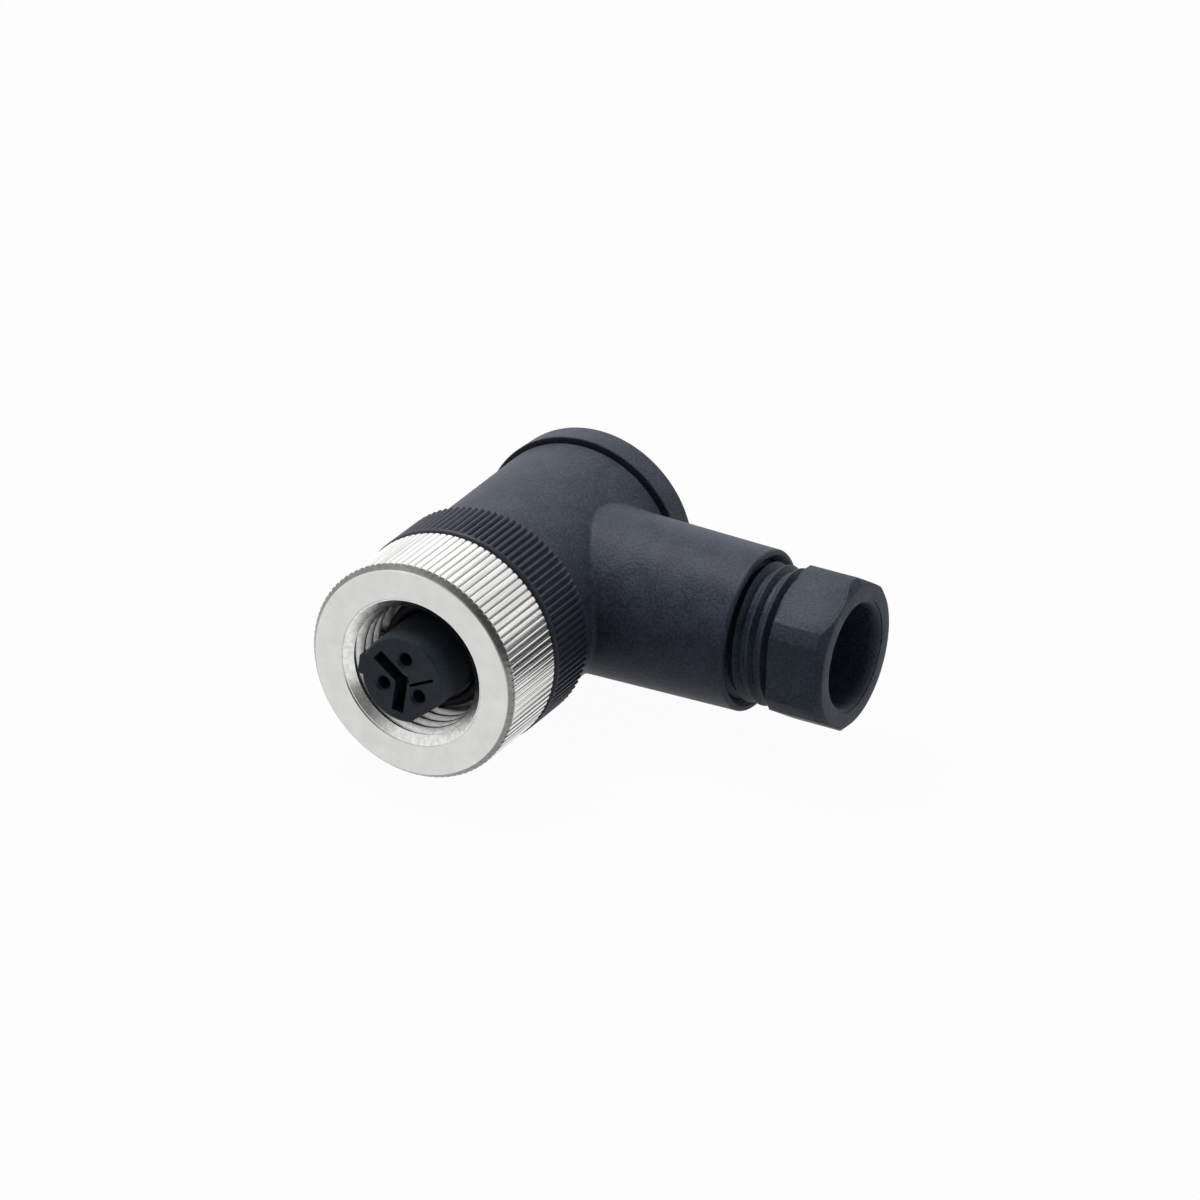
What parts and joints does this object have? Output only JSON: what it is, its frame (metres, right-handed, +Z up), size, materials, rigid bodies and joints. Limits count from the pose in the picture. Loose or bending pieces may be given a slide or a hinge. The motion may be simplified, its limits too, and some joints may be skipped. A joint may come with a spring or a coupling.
{
  "type": "angled female cable connector",
  "caption": "Right-angled circular cable socket with a knurled metal coupling ring, keyed contact insert, screw terminals, screwed rear cap and hexagon cable gland.",
  "frame": {"origin": "centre of the coupling ring's front face, on the mating axis", "axes": "+Y back along the mating axis, +X out along the cable branch, +Z up"},
  "size_m": [0.0412, 0.0347, 0.0202],
  "materials": {
    "nickel_brass": "nickel plated, turned",
    "housing_nylon": "fine spark-eroded grain",
    "union_nylon": "satin",
    "gland_nylon": "fine grain",
    "insert_nylon": "satin",
    "gold_contact": "gold flashed",
    "screw_steel": "zinc plated",
    "seal_rubber": "matt"
  },
  "bodies": {
    "housing": {"angle_housing": "housing_nylon", "cable_seal": "seal_rubber"},
    "insert_head": {"contact_insert": "insert_nylon", "insert_sleeve": "insert_nylon", "coupling_retainer": "screw_steel", "face_seal": "seal_rubber", "insert_seal": "seal_rubber", "contact_1": "gold_contact", "contact_2": "gold_contact", "earth_contact": "gold_contact"},
    "union_ring": {"union_ring": "union_nylon"},
    "coupling_ring": {"coupling_ring": "nickel_brass"},
    "cap_seal": {"rear_cap_seal": "seal_rubber"},
    "rear_cap": {"rear_cap": "housing_nylon"},
    "clamp_cage": {"clamping_cage": "gland_nylon", "thrust_washer": "gland_nylon"},
    "gland_screw": {"gland_screw": "gland_nylon"},
    "wire_guard_1": {"wire_guard_1": "screw_steel"},
    "clamp_screw_1": {"clamp_screw_1": "screw_steel"},
    "wire_guard_2": {"wire_guard_2": "screw_steel"},
    "clamp_screw_2": {"clamp_screw_2": "screw_steel"},
    "wire_guard_3": {"wire_guard_3": "screw_steel"},
    "clamp_screw_3": {"clamp_screw_3": "screw_steel"}
  },
  "joints": [
    {"name": "insert_travel", "type": "slide", "parent": "housing", "child": "insert_head", "axis": [0, -1, 0], "range_m": [0, 0.0034]},
    {"name": "union_turn", "type": "hinge", "parent": "insert_head", "child": "union_ring", "pos_m": [0, 0.0105, 0], "axis": [0, -1, 0], "range_deg": [0, 1224]},
    {"name": "coupling_turn", "type": "hinge", "parent": "insert_head", "child": "coupling_ring", "pos_m": [0, 0.0035, 0], "axis": [0, -1, 0], "continuous": true},
    {"name": "guard_1_travel", "type": "slide", "parent": "insert_head", "child": "wire_guard_1", "axis": [-0.1219, 0, -0.9925], "range_m": [0, 0.00125]},
    {"name": "clamp_1_turn", "type": "hinge", "parent": "wire_guard_1", "child": "clamp_screw_1", "pos_m": [0.00061, 0.0129, 0.00496], "axis": [-0.1219, 0, -0.9925], "range_deg": [0, 1285.8]},
    {"name": "guard_2_travel", "type": "slide", "parent": "insert_head", "child": "wire_guard_2", "axis": [0.9205, 0, 0.3907], "range_m": [0, 0.00125]},
    {"name": "clamp_2_turn", "type": "hinge", "parent": "wire_guard_2", "child": "clamp_screw_2", "pos_m": [-0.0046, 0.0129, -0.00195], "axis": [0.9205, 0, 0.3907], "range_deg": [0, 1285.8]},
    {"name": "guard_3_travel", "type": "slide", "parent": "insert_head", "child": "wire_guard_3", "axis": [-0.7986, 0, 0.6018], "range_m": [0, 0.00125]},
    {"name": "clamp_3_turn", "type": "hinge", "parent": "wire_guard_3", "child": "clamp_screw_3", "pos_m": [0.00399, 0.0129, -0.00301], "axis": [-0.7986, 0, 0.6018], "range_deg": [0, 1285.8]},
    {"name": "cap_travel", "type": "slide", "parent": "housing", "child": "cap_seal", "axis": [0, 1, 0], "range_m": [0, 0.0034]},
    {"name": "cap_turn", "type": "hinge", "parent": "cap_seal", "child": "rear_cap", "pos_m": [0, 0.0305, 0], "axis": [0, 1, 0], "range_deg": [0, 1224]},
    {"name": "cage_travel", "type": "slide", "parent": "housing", "child": "clamp_cage", "axis": [1, 0, 0], "range_m": [-0.00375, 0.003]},
    {"name": "gland_turn", "type": "hinge", "parent": "clamp_cage", "child": "gland_screw", "pos_m": [0.0258, 0.02302, 0], "axis": [1, 0, 0], "range_deg": [-1063, 850.4]}
  ],
  "couplings": [
    {"joint": "union_turn", "follows": "insert_travel", "rad_per_m": 6283.2},
    {"joint": "clamp_1_turn", "follows": "guard_1_travel", "rad_per_m": 17952},
    {"joint": "clamp_2_turn", "follows": "guard_2_travel", "rad_per_m": 17952},
    {"joint": "clamp_3_turn", "follows": "guard_3_travel", "rad_per_m": 17952},
    {"joint": "cap_turn", "follows": "cap_travel", "rad_per_m": 6283.2},
    {"joint": "gland_turn", "follows": "cage_travel", "rad_per_m": 4947.4}
  ]
}
